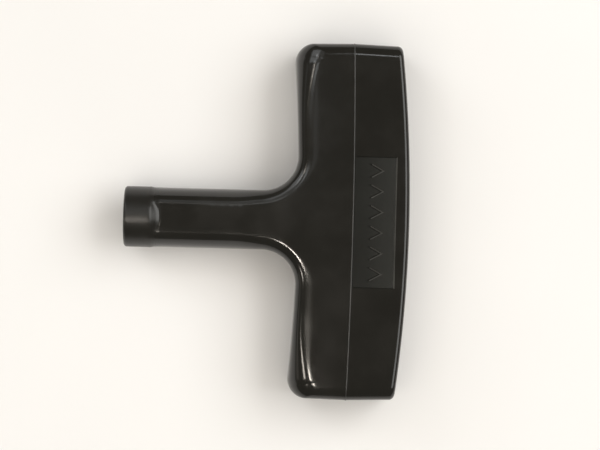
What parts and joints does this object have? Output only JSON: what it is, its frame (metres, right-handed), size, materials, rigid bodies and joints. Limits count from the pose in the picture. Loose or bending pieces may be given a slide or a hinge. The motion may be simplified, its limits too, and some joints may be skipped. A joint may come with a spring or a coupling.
{
  "type": "recoil starter handle",
  "caption": "T-shaped pull handle for a small engine's recoil starter: a moulded grip bar with an open ribbed back, and a collared stem bored through for the rope.",
  "frame": {"origin": "on the rope bore's axis at the stem's free end, where the bore's straight wall starts behind its bevelled mouth", "axes": "+X along the stem towards the palm side, +Y along the grip bar, +Z through its thickness, out of the face with the recessed panel"},
  "size_m": [0.066, 0.0824, 0.0196],
  "materials": {
    "handle_plastic": "glossy black moulding, matt on the recessed panel"
  },
  "bodies": {
    "root": {"handle": "handle_plastic"}
  },
  "joints": []
}
